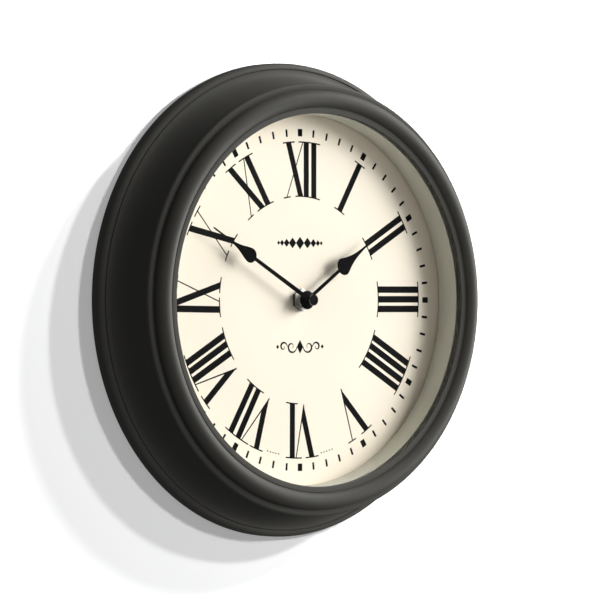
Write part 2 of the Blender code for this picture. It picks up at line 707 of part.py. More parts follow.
def wheels():
    rotor_module = 2 * ROTOR_REACH / (ROTOR_TEETH + INTERMEDIATE_TEETH)
    drive_module = 2 * INTERMEDIATE_REACH / (INTERMEDIATE_PINION + SECOND_TEETH)
    third_module = 2 * THIRD_REACH / (SECOND_PINION + THIRD_TEETH)
    centre_module = 2 * THIRD_REACH / (THIRD_PINION + CENTRE_TEETH)
    motion_module = 2 * MOTION_REACH / (CANNON_TEETH + MOTION_TEETH)
    knob_module = 2 * MOTION_REACH / (KNOB_TEETH + MOTION_TEETH)
    hour_module = 2 * MOTION_REACH / (MOTION_PINION + HOUR_TEETH)

    # Each pinion turns a tooth, and each wheel a gap, along the line between them.
    back = math.pi
    rotor = wheel(
        "rotor",
        [(ROTOR_TEETH, rotor_module, ROTOR_ANGLE + back, 8.0, 9.6)],
        (0.4, 5.0, 9.8),
        FERRITE,
        ROTOR_AXIS,
    )
    combine(rotor, "UNION", cylinder_mesh(3.0, 5.6, 8.2, count=20))
    facing_rotor = meshing_phase(INTERMEDIATE_TEETH, ROTOR_ANGLE)
    wheel(
        "intermediate_wheel",
        [
            (INTERMEDIATE_TEETH, rotor_module, facing_rotor, 9.0, 9.6),
            (INTERMEDIATE_PINION, drive_module, INTERMEDIATE_ANGLE + back, 6.6, 8.2),
        ],
        (0.5, 5.0, 9.8),
        WHITE_GEAR,
        INTERMEDIATE_AXIS,
    )
    facing_drive = meshing_phase(SECOND_TEETH, INTERMEDIATE_ANGLE)
    wheel(
        "second_wheel",
        [
            (SECOND_TEETH, drive_module, facing_drive, 7.0, 7.7),
            (SECOND_PINION, third_module, THIRD_ANGLE, 7.5, 9.4),
        ],
        (0.5, 5.0, 9.8),
        WHITE_GEAR,
    )
    facing_second = meshing_phase(THIRD_TEETH, THIRD_ANGLE + back)
    wheel(
        "third_wheel",
        [
            (THIRD_TEETH, third_module, facing_second, 8.2, 8.9),
            (THIRD_PINION, centre_module, THIRD_ANGLE + back, 8.7, 12.1),
        ],
        (0.5, 5.0, 12.2),
        WHITE_GEAR,
        THIRD_AXIS,
    )
    facing_third = meshing_phase(CENTRE_TEETH, THIRD_ANGLE)
    wheel(
        "centre_wheel",
        [(CENTRE_TEETH, centre_module, facing_third, 11.1, 11.8)],
        None,
        WHITE_GEAR,
        bore=1.3,
    )
    minute_shaft = [(0, 33.3), (1.2, 33.3), (1.4, 33.1), (1.4, 29.4), (1.65, 29.2), (1.65, 12.2)]
    minute_shaft += [(1.1, 12.2), (1.1, 11.0), (0, 11.0)]
    cannon = add_part("cannon_pinion", profile_mesh(minute_shaft, closed=False), BRASS)
    turn(cannon, 20)
    gear = gear_outline(CANNON_TEETH, motion_module, MOTION_ANGLE)
    combine(cannon, "UNION", plate_mesh([gear], 12.3, 13.5))
    facing_cannon = meshing_phase(MOTION_TEETH, MOTION_ANGLE + back)
    wheel(
        "motion_wheel",
        [
            (MOTION_TEETH, motion_module, facing_cannon, 12.4, 13.2),
            (MOTION_PINION, hour_module, MOTION_ANGLE + back, 13.0, 16.4),
        ],
        (0.6, 12.0, 16.9),
        WHITE_GEAR,
        MOTION_AXIS,
    )
    hour = wheel(
        "hour_wheel",
        [(HOUR_TEETH, hour_module, meshing_phase(HOUR_TEETH, MOTION_ANGLE), 15.0, 15.8)],
        None,
        BRASS,
        bore=1.95,
    )
    combine(hour, "UNION", plate_mesh([circle(2.5, 24), circle(1.95, 16)], 14.4, 28.4))

    # The knob's teeth meet the motion wheel's wherever its phase puts them.
    motion_pitch = 2 * math.pi / MOTION_TEETH
    offset = ((KNOB_ANGLE - facing_cannon) / motion_pitch) % 1
    knob_phase = KNOB_ANGLE + back + (0.5 + offset) * 2 * math.pi / KNOB_TEETH
    knob = wheel(
        "setting_knob",
        [(KNOB_TEETH, knob_module, knob_phase, 12.3, 13.3)],
        (1.0, 2.4, 13.2),
        BLACK_PLASTIC,
        KNOB_AXIS,
    )
    grip = []
    for i in range(24):
        grip.append(polar(5.0 if i % 2 else 4.6, math.pi * i / 12))
    combine(knob, "UNION", plate_mesh([grip], 1.0, 2.6))


case_shell()
dial_support_ring()
bezel_ring()
case_front()
back_parts()
screws()
hands()
fixing_stack()
housing()
battery_parts()
motor()
circuit()
wheels()
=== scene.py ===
"""Looks of a schoolhouse wall clock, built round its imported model.

Shapes are given in clock coordinates, in millimetres: X to the right and Y up as one
looks at the dial, Z out of the wall. The function at() turns them into the frame's
metres, where the clock faces -Y with +Z up.
"""

import json
import math

import bmesh
import bpy
from mathutils import Matrix, Vector, geometry


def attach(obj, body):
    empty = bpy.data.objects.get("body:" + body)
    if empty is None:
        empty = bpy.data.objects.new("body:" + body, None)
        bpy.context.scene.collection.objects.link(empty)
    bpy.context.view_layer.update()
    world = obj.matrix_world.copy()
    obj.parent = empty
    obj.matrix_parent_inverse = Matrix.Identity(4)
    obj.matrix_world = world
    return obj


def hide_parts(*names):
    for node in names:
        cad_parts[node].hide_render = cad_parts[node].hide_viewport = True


MM = 0.001
QUARTER = math.pi / 2
FULL_TURN = 2 * math.pi
FINE = 240
MEDIUM = 96
WALL_TONE = 0.8

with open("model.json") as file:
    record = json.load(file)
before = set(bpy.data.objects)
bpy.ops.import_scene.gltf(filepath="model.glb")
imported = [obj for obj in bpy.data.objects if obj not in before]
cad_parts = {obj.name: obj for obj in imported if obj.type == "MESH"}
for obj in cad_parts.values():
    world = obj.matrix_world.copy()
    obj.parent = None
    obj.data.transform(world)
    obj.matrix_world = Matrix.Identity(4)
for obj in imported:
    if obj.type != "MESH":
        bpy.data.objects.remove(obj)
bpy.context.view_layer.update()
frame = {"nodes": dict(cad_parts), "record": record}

# Case and bezel, as radius and height above the wall.
CASE_RADIUS = 150.0
OVOLO = ((146.4, 4.8), 3.6)
GROOVE_FLOOR = 7.8
COVE_OUTER = 145.5
COVE_THROAT = 133.5
COVE_FOOT = 8.6
COVE_CENTRE = 36.0
COVE_WALL = 2.5
SHELL_TOP = 35.3
RIM = (144.5, 6.2)
LAND_INNER = 138.0
TORUS = ((126.2, 40.4), 5.5)
TORUS_ENDS = (math.radians(155), math.radians(-18))
LIP_GROOVE = 0.4
BEZEL_STEPS = ((131.8, 38.1), (132.6, 38.4))
BEZEL_RADIUS = 136.2
BEZEL_ROUND = 1.6
BEZEL_BACK = 35.6
BEZEL_FRONT = 38.6
LIP = (117.2, 120.7, 42.9)
SKIRT = (128.2, 130.7, 30.5)
GLASS_SEAT = (121.3, 37.5, 39.3)

# Glass, inner ring and dial.
GLASS = (121.0, 38.0, 39.0)
REHAUT = (117.3, 119.8, 20.7, 37.7)
DIAL = (4.3, 122.0, 19.4, 20.4)
PRINT = (20.36, 20.43)

# Hands, clockwise from twelve, as blade, height from and to, and bore.
HOUR_ANGLE = math.radians(55)
MINUTE_ANGLE = math.radians(300)
HOUR_BLADE = dict(
    boss=5.9,
    stem=(1.25, 1.15),
    bulb_at=37.4,
    bulb=5.8,
    base=5.4,
    taper=(8.4, 1.25),
    needle=0.5,
    tip=67.9,
)
MINUTE_BLADE = dict(
    boss=4.5,
    stem=(1.5, 1.2),
    bulb_at=55.6,
    bulb=4.67,
    base=4.6,
    taper=(9.3, 1.75),
    needle=0.55,
    tip=90.3,
)
HOUR_PLATE = (27.4, 27.8)
HOUR_BORE = 2.6
COLLET = (3.4, 25.2, 27.35)
MINUTE_PLATE = (29.8, 30.2)
MINUTE_BORE = 1.55

# Nut and washer on the dial.
FIXING_BORE = 4.3
NUT_ACROSS_FLATS = 12.7
NUT = (21.0, 23.4)
WASHER = (6.0, 20.5, 20.9)
THREAD = (4.0, 3.72)
THREAD_TOP = 24.1
THREAD_PITCH = 0.45
THREAD_TURNS = 6

# Back cover, its ribs and the hanger.
COVER = (144, 4.2, 5.9)
MOVEMENT_WINDOW = 58.4
RIB_HEIGHTS = (2.4, 4.25)
RIB_WIDTH = 2
RIB_RINGS = (61.0, 130.0)
SPOKES = 12
TOP_SPOKE = 3
COVER_SCREWS = 140.2
SCREW_HOLE = 1.6
HANGER_HEIGHT = 108.0
HANGER_SCREWS = 18.0
HANGER = (2.7, 3.9)

# Screws, as radii and heights.
SHANK = 1.2
HEAD_RADIUS = 2.8
HEAD_RIM = 0.6
HEAD_CROWN = 0.8
RECESS_REACH = 1.6
RECESS_HALF = 0.25


# ------------------------------------------------------------------ building blocks


def at(x, y, z):
    return (x * MM, -z * MM, y * MM)


def polar(radius, angle, centre=(0, 0)):
    return (centre[0] + radius * math.cos(angle), centre[1] + radius * math.sin(angle))


def clockwise(radius, angle):
    """A point on the dial, at an angle clockwise from twelve."""
    return (radius * math.sin(angle), radius * math.cos(angle))


def arc(centre, radius, start, stop, count):
    step = (stop - start) / (count - 1)
    return [polar(radius, start + step * i, centre) for i in range(count)]


def circle(radius, count, centre=(0, 0)):
    return [polar(radius, FULL_TURN * i / count, centre) for i in range(count)]


def softened(points, radius=0.3, count=3):
    """The closed outline with its sharp corners rounded by up to the radius."""
    result = []
    for i, point in enumerate(points):
        corner = Vector(point)
        before = Vector(points[i - 1]) - corner
        after = Vector(points[(i + 1) % len(points)]) - corner
        if before.angle(after) > math.radians(155):
            result.append(tuple(corner))
            continue
        reach = min(radius, 0.4 * before.length, 0.4 * after.length)
        start = corner + before.normalized() * reach
        stop = corner + after.normalized() * reach
        for k in range(count + 1):
            t = k / count
            bend = start * (1 - t) ** 2 + corner * (2 * t * (1 - t)) + stop * t**2
            result.append(tuple(bend))
    return result


def finished_mesh(shape, name):
    bmesh.ops.remove_doubles(shape, verts=shape.verts, dist=1e-7)
    bmesh.ops.recalc_face_normals(shape, faces=shape.faces)
    mesh = bpy.data.meshes.new(name)
    shape.to_mesh(mesh)
    shape.free()
    return mesh


def turned(section, steps=FINE, centre=(0, 0)):
    """A closed section of radius and height, turned about an axis out of the wall."""
    shape = bmesh.new()
    rings = []
    for i in range(steps):
        angle = FULL_TURN * i / steps
        ring = []
        for radius, height in section:
            x, y = polar(radius, angle, centre)
            ring.append(shape.verts.new(at(x, y, height)))
        rings.append(ring)
    for i in range(steps):
        here, there = rings[i], rings[(i + 1) % steps]
        for k in range(len(section)):
            m = (k + 1) % len(section)
            if section[k][0] or section[m][0]:
                shape.faces.new((here[k], here[m], there[m], there[k]))
    return finished_mesh(shape, "turned")


def plate(loops, low, high, bevel=0.0):
    """A flat outline with its holes, its edges rounded by the bevel."""
    curve = bpy.data.curves.new("outline", "CURVE")
    curve.dimensions = "2D"
    curve.fill_mode = "BOTH"
    curve.extrude = ((high - low) / 2 - bevel) * MM
    curve.bevel_depth = bevel * MM
    curve.bevel_resolution = 1
    curve.offset = -bevel * MM
    for loop in loops:
        spline = curve.splines.new("POLY")
        spline.points.add(len(loop) - 1)
        spline.use_cyclic_u = True
        for point, (x, y) in zip(spline.points, loop):
            point.co = (x * MM, y * MM, 0, 1)
    guide = bpy.data.objects.new("outline", curve)
    bpy.context.scene.collection.objects.link(guide)
    graph = bpy.context.evaluated_depsgraph_get()
    mesh = bpy.data.meshes.new_from_object(guide.evaluated_get(graph))
    bpy.data.objects.remove(guide)
    shape = bmesh.new()
    shape.from_mesh(mesh)
    out = Matrix.Rotation(math.pi / 2, 4, "X")
    lift = Matrix.Translation((0, 0, (low + high) / 2 * MM))
    bmesh.ops.transform(shape, matrix=out @ lift, verts=shape.verts)
    return finished_mesh(shape, "plate")


def signed_area(loop):
    total = 0.0
    for i, (x, y) in enumerate(loop):
        total += loop[i - 1][0] * y - x * loop[i - 1][1]
    return total / 2


def merged(loops, low, high):
    """Overlapping outlines joined into one flat shape, from low to high."""
    points = []
    faces = []
    for loop in loops:
        if signed_area(loop) < 0:
            loop = loop[::-1]
        faces.append(list(range(len(points), len(points) + len(loop))))
        points += [Vector(point) for point in loop]
    found = geometry.delaunay_2d_cdt(points, [], faces, 0, 1e-4, True)
    spots, triangles, owners = found[0], found[2], found[5]
    kept = [tri for tri, owner in zip(triangles, owners) if owner]
    shape = bmesh.new()
    under = {}
    over = {}
    for tri in kept:
        for i in tri:
            if i not in over:
                over[i] = shape.verts.new(at(*spots[i], high))
                under[i] = shape.verts.new(at(*spots[i], low))
    edges = {}
    for tri in kept:
        shape.faces.new([over[i] for i in tri])
        shape.faces.new([under[i] for i in reversed(tri)])
        for i in range(3):
            pair = (tri[i], tri[(i + 1) % 3])
            edges[pair] = edges.get(pair, 0) + 1
    for a, b in edges:
        if (b, a) not in edges:
            shape.faces.new((over[b], over[a], under[a], under[b]))
    return finished_mesh(shape, "merged")


def piece(name, mesh, material, body, replaces=(), crease=20):
    """One visible piece, smooth except along its creases, riding on a body."""
    made = bpy.data.objects.new(name, mesh)
    bpy.context.scene.collection.objects.link(made)
    mesh.materials.clear()
    mesh.materials.append(material)
    for face in mesh.polygons:
        face.use_smooth = True
        face.material_index = 0
    mesh.set_sharp_from_angle(angle=math.radians(crease))
    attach(made, body)
    if replaces:
        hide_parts(*replaces)
    return made


# ------------------------------------------------------------------------- materials


class Finish:
    """A Principled material whose colour, roughness and relief come from noise."""

    def __init__(self, name, roughness=0.5, metallic=0.0, specular=0.5, coat=0.0):
        self.material = bpy.data.materials.new(name)
        self.material.use_nodes = True
        self.tree = self.material.node_tree
        self.shader = self.tree.nodes["Principled BSDF"]
        self.shader.inputs["Metallic"].default_value = metallic
        self.shader.inputs["Roughness"].default_value = roughness
        self.shader.inputs["Specular IOR Level"].default_value = specular
        self.shader.inputs["Coat Weight"].default_value = coat
        self.shader.inputs["Coat Roughness"].default_value = 0.12
        self.place = self.node("ShaderNodeTexCoord").outputs["Object"]

    def node(self, kind, **values):
        made = self.tree.nodes.new(kind)
        for key, value in values.items():
            setattr(made, key, value)
        return made

    def link(self, source, target):
        self.tree.links.new(source, target)

    def noise(self, scale, detail=3.0, stretch=(1, 1, 1)):
        mapping = self.node("ShaderNodeMapping")
        mapping.inputs["Scale"].default_value = stretch
        self.link(self.place, mapping.inputs["Vector"])
        noise = self.node("ShaderNodeTexNoise")
        noise.inputs["Scale"].default_value = scale
        noise.inputs["Detail"].default_value = detail
        self.link(mapping.outputs["Vector"], noise.inputs["Vector"])
        return noise.outputs["Fac"]

    def ramp(self, source, stops, interpolation="LINEAR"):
        ramp = self.node("ShaderNodeValToRGB")
        ramp.color_ramp.interpolation = interpolation
        elements = ramp.color_ramp.elements
        while len(elements) < len(stops):
            elements.new(0.5)
        for element, (position, colour) in zip(elements, stops):
            element.position = position
            element.color = (*colour, 1)
        self.link(source, ramp.inputs["Fac"])
        return ramp.outputs["Color"]

    def mix(self, factor, first, second, blend="MIX"):
        mix = self.node("ShaderNodeMix", data_type="RGBA", blend_type=blend)
        given = ((mix.inputs[0], factor), (mix.inputs[6], first), (mix.inputs[7], second))
        for socket, value in given:
            if isinstance(value, bpy.types.NodeSocket):
                self.link(value, socket)
            elif isinstance(value, tuple):
                socket.default_value = (*value, 1)
            else:
                socket.default_value = value
        return mix.outputs[2]

    def spread(self, source, low, high):
        spread = self.node("ShaderNodeMapRange")
        spread.inputs["From Min"].default_value = 0.3
        spread.inputs["From Max"].default_value = 0.7
        spread.inputs["To Min"].default_value = low
        spread.inputs["To Max"].default_value = high
        self.link(source, spread.inputs["Value"])
        return spread.outputs["Result"]

    def colour(self, source):
        self.link(source, self.shader.inputs["Base Color"])

    def rough(self, source, low, high):
        self.link(self.spread(source, low, high), self.shader.inputs["Roughness"])

    def bump(self, source, depth, strength=1.0):
        bump = self.node("ShaderNodeBump")
        bump.inputs["Strength"].default_value = strength
        bump.inputs["Distance"].default_value = depth
        self.link(source, bump.inputs["Height"])
        self.link(bump.outputs["Normal"], self.shader.inputs["Normal"])


def tinted(colour, share):
    return tuple(channel * share for channel in colour)


def mottled(name, colour, roughness, grain, depth, contrast=0.06, stretch=(1, 1, 1), **extra):
    """A finish with fine grain, faint cloudy tone and slightly uneven gloss."""
    finish = Finish(name, roughness, **extra)
    fine = finish.noise(grain, 4.0, stretch)
    cloudy = finish.noise(28.0, 2.0)
    stops = [(0.3, tinted(colour, 1 - contrast)), (0.7, tinted(colour, 1 + contrast))]
    tone = finish.ramp(cloudy, stops)
    speck = finish.ramp(fine, [(0.3, (0.93, 0.93, 0.93)), (0.7, (1.0, 1.0, 1.0))])
    finish.colour(finish.mix(0.8, tone, speck, "MULTIPLY"))
    finish.rough(cloudy, roughness * 0.92, roughness * 1.08)
    finish.bump(fine, depth)
    return finish.material


CHARCOAL = mottled(
    "charcoal_satin", (0.084, 0.082, 0.073), 0.55, 1500, 0.00002, 0.04, specular=0.1
)
INK = mottled("dial_ink", (0.004, 0.0038, 0.0038), 0.6, 2500, 0.000003, 0.1, specular=0.05)
LACQUER = mottled(
    "black_lacquer", (0.0042, 0.0042, 0.0044), 0.3, 1200, 0.000002, 0.1, specular=0.05
)
GLOSSY_LACQUER = mottled(
    "glossy_black_lacquer", (0.005, 0.005, 0.0052), 0.12, 1200, 0.000002, 0.1, specular=0.5
)
PLASTIC = mottled(
    "grained_black_plastic", (0.046, 0.046, 0.048), 0.6, 900, 0.00006, 0.04, specular=0.15
)
SMOOTH_PLASTIC = mottled(
    "moulded_black_plastic", (0.036, 0.036, 0.038), 0.5, 1500, 0.00001, 0.04, specular=0.15
)
CHROME = mottled("nickel_plate", (0.66, 0.66, 0.63), 0.3, 900, 0.000001, 0.03, metallic=1.0)
SATIN_NICKEL = mottled(
    "satin_nickel", (0.72, 0.72, 0.68), 0.42, 900, 0.000002, 0.04, metallic=0.45
)
# Nickel darkened nearly to black for the nut's side facets: painted shade, standing in for the
# shaded dial that the flanks would reflect.
PAINTED_SHADE_NICKEL_FLANK = mottled(
    "nickel_flank", (0.07, 0.07, 0.068), 0.35, 900, 0.000002, 0.05, metallic=1.0
)
BRASS = mottled("turned_brass", (0.72, 0.52, 0.22), 0.26, 1200, 0.000002, 0.05, metallic=1.0)
RUBBER = mottled("black_rubber", (0.02, 0.02, 0.02), 0.82, 700, 0.00005, 0.15)
ACETAL = mottled("white_acetal", (0.82, 0.82, 0.78), 0.42, 800, 0.00001, 0.03)
COPPER = mottled(
    "copper_wire", (0.72, 0.3, 0.14), 0.32, 9000, 0.00003, 0.06, (0, 0, 1), metallic=1.0
)
BOARD = mottled("green_board", (0.02, 0.2, 0.08), 0.45, 300, 0.00001, 0.25)
MAGNET = mottled("sintered_magnet", (0.06, 0.06, 0.065), 0.6, 1800, 0.00002, 0.1)
ZINC = mottled(
    "zinc_plated_steel", (0.5, 0.51, 0.52), 0.42, 160, 0.000008, 0.1, (1, 8, 12), metallic=1.0
)


def cream_finish(name, colour):
    """Warm white enamel with a faint tooth."""
    finish = Finish(name, 0.6, specular=0.1)
    fine = finish.noise(2200, 3.0)
    cloudy = finish.noise(18, 2.0)
    stops = [(0.3, tinted(colour, 0.99)), (0.7, colour)]
    finish.colour(finish.ramp(cloudy, stops))
    finish.rough(cloudy, 0.55, 0.65)
    finish.bump(fine, 0.000003)
    return finish.material


def glass_finish():
    """Clear glass: see-through, with a weak reflection that grows at grazing angles."""
    finish = Finish("clear_glass")
    tree = finish.tree
    tree.nodes.remove(finish.shader)
    clear = finish.node("ShaderNodeBsdfTransparent")
    clear.inputs["Color"].default_value = (0.985, 0.99, 0.985, 1)
    gloss = finish.node("ShaderNodeBsdfGlossy")
    finish.link(finish.spread(finish.noise(40, 3.0), 0.02, 0.05), gloss.inputs["Roughness"])
    fresnel = finish.node("ShaderNodeFresnel")
    fresnel.inputs["IOR"].default_value = 1.45
    weaker = finish.node("ShaderNodeMath", operation="MULTIPLY")
    weaker.inputs[1].default_value = 0.15
    finish.link(fresnel.outputs["Fac"], weaker.inputs[0])
    mix = finish.node("ShaderNodeMixShader")
    finish.link(weaker.outputs["Value"], mix.inputs["Fac"])
    finish.link(clear.outputs["BSDF"], mix.inputs[1])
    finish.link(gloss.outputs["BSDF"], mix.inputs[2])
    finish.link(mix.outputs["Shader"], tree.nodes["Material Output"].inputs["Surface"])
    return finish.material


def cell_finish():
    """A cell's printed jacket: dark body, copper-coloured band and bare ends."""
    finish = Finish("cell_jacket", 0.3)
    split = finish.node("ShaderNodeSeparateXYZ")
    finish.link(finish.place, split.inputs["Vector"])
    along = finish.node("ShaderNodeMapRange")
    along.inputs["From Min"].default_value = -25.2 * MM
    along.inputs["From Max"].default_value = 25.5 * MM
    finish.link(split.outputs["X"], along.inputs["Value"])
    bands = [
        (0.0, (0.6, 0.6, 0.58)),
        (0.02, (0.02, 0.022, 0.026)),
        (0.62, (0.45, 0.45, 0.43)),
        (0.64, (0.55, 0.27, 0.1)),
        (0.965, (0.6, 0.6, 0.58)),
    ]
    banded = finish.ramp(along.outputs["Result"], bands, "CONSTANT")
    cloudy = finish.noise(60, 3.0)
    wear = finish.ramp(cloudy, [(0.35, (0.88, 0.88, 0.88)), (0.7, (1.0, 1.0, 1.0))])
    finish.colour(finish.mix(0.8, banded, wear, "MULTIPLY"))
    finish.rough(cloudy, 0.24, 0.36)
    finish.bump(finish.noise(1500), 0.000003)
    return finish.material


CREAM = cream_finish("dial_cream", (0.955, 0.856, 0.728))
# The rehaut takes the dial's cream darkened and greyed, which is painted shade for the recessed
# inner wall.
SHADED_REHAUT_CREAM = cream_finish("rehaut_cream", (0.70, 0.702, 0.63))
GLASS_FINISH = glass_finish()
CELL = cell_finish()


# ------------------------------------------------------------------ case and its front


def cove(wall, start, stop, count):
    """The concave quarter-ellipse of the case, moved inwards by a wall."""
    points = []
    for i in range(count):
        t = start + (stop - start) * i / (count - 1)
        x = COVE_OUTER - (COVE_OUTER - COVE_THROAT + wall) * math.cos(t)
        z = COVE_CENTRE - (COVE_CENTRE - COVE_FOOT + wall) * math.sin(t)
        points.append((x, z))
    return points


def make_case():
    top = math.asin((COVE_CENTRE - SHELL_TOP) / (COVE_CENTRE - COVE_FOOT))
    section = cove(0, top, QUARTER, 30)
    (centre, height), radius = OVOLO
    section += [(COVE_OUTER + 0.2, GROOVE_FLOOR), (centre - 0.2, GROOVE_FLOOR)]
    section += arc((centre, height), radius, QUARTER, 0, 14)
    section += [(CASE_RADIUS, 0), (RIM[0], 0), RIM, (LAND_INNER, RIM[1])]
    land = math.acos((COVE_OUTER - LAND_INNER) / (COVE_OUTER - COVE_THROAT + COVE_WALL))
    inner_top = math.asin((COVE_CENTRE - SHELL_TOP) / (COVE_CENTRE - COVE_FOOT + COVE_WALL))
    section += cove(COVE_WALL, land, inner_top, 16)
    shell = turned(softened(section, 0.25))
    piece("case_shell_moulding", shell, CHARCOAL, "clock_case", ["case_shell"])


def make_bezel():
    inner, outer, front = LIP
    centre, radius = TORUS
    section = [(inner, front), (outer, front), (outer + 0.2, front - LIP_GROOVE)]
    section += [*arc(centre, radius, *TORUS_ENDS, 40), *BEZEL_STEPS]
    shoulder = (BEZEL_RADIUS - BEZEL_ROUND, BEZEL_FRONT - BEZEL_ROUND)
    section += arc(shoulder, BEZEL_ROUND, QUARTER, 0, 9)
    section += [(BEZEL_RADIUS, BEZEL_BACK), (SKIRT[1], BEZEL_BACK), (SKIRT[1], SKIRT[2])]
    section += [(SKIRT[0], SKIRT[2]), (SKIRT[0], GLASS_SEAT[1]), (GLASS_SEAT[0], GLASS_SEAT[1])]
    section += [(GLASS_SEAT[0], GLASS_SEAT[2]), (inner, GLASS_SEAT[2])]
    ring = turned(softened(section, 0.35))
    piece("bezel_moulding", ring, CHARCOAL, "clock_case", ["bezel_ring"])


def ring_section(inner, outer, low, high):
    return [(inner, high), (outer, high), (outer, low), (inner, low)]


def make_front():
    rehaut = turned(softened(ring_section(*REHAUT), 0.25))
    # The inner ring is in the darkened cream: painted shade.
    piece("rehaut_band", rehaut, SHADED_REHAUT_CREAM, "clock_case", ["rehaut_ring"])
    dial = turned(softened(ring_section(*DIAL), 0.15))
    piece("dial_disc", dial, CREAM, "clock_case", ["dial_plate"])
    radius, low, high = GLASS
    bevel = 0.3
    section = [(0, high), (radius - bevel, high), (radius, high - bevel)]
    section += [(radius, low + bevel), (radius - bevel, low), (0, low)]
    glass = turned(section)
    piece("glass_pane", glass, GLASS_FINISH, "clock_case", ["glass_lens"])


# ------------------------------------------------------------------------ dial printing

FEET = 65.1
HEAD = 100.2
APEX = 65.6
THICK = 4.2
HAIR = 0.8
SERIF = 0.85
TRACK = (103.3, 108.0)
TICK_HALF = 0.78
BLOCK_HALF = 1.85
UPPER_ORNAMENT = 36.0
UPPER_LOZENGES = (3.0, 2.3, 1.7, 1.2)
LOWER_ORNAMENT = -29.5
DOTS = (5, 98.4, 0.5)

# One entry an hour, as offsets from the numeral's middle: bars and hairlines at their
# heads and feet, a V's thick head, thin head and point, serifs at the heads, and serifs
# at the feet.
NUMERALS = {
    1: (((0, 0),), (), None, ((-4.8, 4.8),), ((-4.8, 4.8),)),
    2: (((-3.4, -3.4), (3.0, 3.0)), (), None, ((-8.4, 8.0),), ((-8.5, 7.8),)),
    3: (
        ((-6.65, -6.65), (-0.45, -0.45), (5.75, 5.75)),
        (),
        None,
        ((-11.9, 11.1),),
        ((-11.9, 11.1),),
    ),
    4: (
        ((-9.9, -10.0), (-4.0, -4.15), (2.1, 1.85), (8.3, 8.05)),
        (),
        None,
        ((-15.0, 13.3),),
        ((-14.8, 13.0),),
    ),
    5: ((), (), (-6.85, 6.97, -0.9), ((-12, -1.6), (3.7, 10.8)), ()),
    6: (
        ((6.4, 6.25),),
        (),
        (-9.93, 3.3, -2.8),
        ((-15.4, -4.6), (-1.5, 11.9)),
        ((2.0, 11.5),),
    ),
    7: (
        ((0.95, 1.3), (7.9, 7.6)),
        (),
        (-15.6, -2.15, -8.85),
        ((-21, -10), (-8.4, 13.2)),
        ((-3.4, 12.7),),
    ),
    8: (
        ((0.1, -0.2), (6.1, 6.1), (11.95, 11.85)),
        (),
        (-16.85, -2.95, -10.85),
        ((-22, -11.5), (-8, 17.2)),
        ((-5.3, 17.0),),
    ),
    9: (
        ((-5.4, -5.95), (-1.6, 9.3)),
        ((12.1, -1.1),),
        None,
        ((-10.8, 3.8), (7.2, 15.8)),
        ((-10.8, 1.6), (4.3, 14.3)),
    ),
    10: (
        ((-6.2, 4.95),),
        ((6.4, -5.85),),
        None,
        ((-11, -1.7), (1.8, 10.2)),
        ((-9.7, -2.4), (0.5, 10.2)),
    ),
    11: (
        ((-8.75, 2.4), (6.95, 7.35)),
        ((4.5, -8.6),),
        None,
        ((-13.0, -3), (-0.2, 12.3)),
        ((-11.8, -6.1), (-2.4, 12.4)),
    ),
    12: (
        ((-9.65, 0.67), (5.15, 5.15), (11.4, 11.4)),
        ((2.5, -10.9),),
        None,
        ((-14.2, -4.5), (-1.2, 16.6)),
        ((-13.5, -7.8), (-3.8, 16.5)),
    ),
}


def standing(angle, along, up):
    """A point of a numeral: along it clockwise, and up from the dial's centre."""
    ahead = Vector((math.cos(angle), -math.sin(angle)))
    out = Vector((math.sin(angle), math.cos(angle)))
    return tuple(ahead * along + out * up)


def on_ring(radius, along):
    return math.sqrt(radius * radius - along * along)


def stroke(angle, head, feet, width):
    half = width / 2
    corners = []
    for along in (head - half, head, head + half):
        corners.append(standing(angle, along, on_ring(HEAD - 0.1, along)))
    for along in (feet + half, feet, feet - half):
        corners.append(standing(angle, along, on_ring(FEET + 0.1, along)))
    return corners


def band(angle, radius, thickness, start, stop):
    """A thin bow along the ring of the given radius."""
    first, last = math.asin(start / radius), math.asin(stop / radius)
    count = 2 + int((stop - start) / 1.5)
    outer = []
    inner = []
    for i in range(count):
        turn = angle + first + (last - first) * i / (count - 1)
        outer.append(clockwise(radius, turn))
        inner.append(clockwise(radius - thickness, turn))
    return outer + inner[::-1]


def vee(angle, thick, thin, point):
    """A V whose thick limb is cut off by its hairline, down to one sharp point."""
    fall = HEAD - APEX
    outside = thin + HAIR / 2
    left, right = thick - THICK / 2, thick + THICK / 2
    limb = (point - left) / fall
    hairline = (point - outside) / fall
    drop = (outside - right) / (limb - hairline)
    inner = (right + limb * drop, HEAD - drop)
    corners = [(left, on_ring(HEAD - 0.1, left)), (right, on_ring(HEAD - 0.1, right))]
    corners += [inner, (point, APEX)]
    thin_corners = [(outside, on_ring(HEAD - 0.1, outside)), (point, APEX)]
    thin_corners += [(point - HAIR, APEX + 1), (outside - HAIR, on_ring(HEAD - 0.1, thin))]
    limbs = []
    for outline in (corners, thin_corners):
        limbs.append([standing(angle, along, up) for along, up in outline])
    return limbs


def make_numerals():
    loops = []
    for hour, (thick, thin, point, heads, feet) in NUMERALS.items():
        angle = math.radians(30 * hour)
        if point:
            loops += vee(angle, *point)
        for head, foot in thick:
            loops.append(stroke(angle, head, foot, THICK))
        for head, foot in thin:
            loops.append(stroke(angle, head, foot, HAIR))
        for start, stop in heads:
            loops.append(band(angle, HEAD, SERIF, start, stop))
        for start, stop in feet:
            loops.append(band(angle, FEET + SERIF, SERIF, start, stop))
    numerals = merged(loops, *PRINT)
    piece("dial_numerals", numerals, INK, "clock_case")


def make_track():
    loops = []
    inner, outer = TRACK
    for minute in range(60):
        half = TICK_HALF if minute % 5 else BLOCK_HALF
        angle = math.radians(6 * minute)
        loops.append(band(angle, outer, outer - inner, -half, half))
    track = merged(loops, *PRINT)
    piece("dial_minute_track", track, INK, "clock_case")


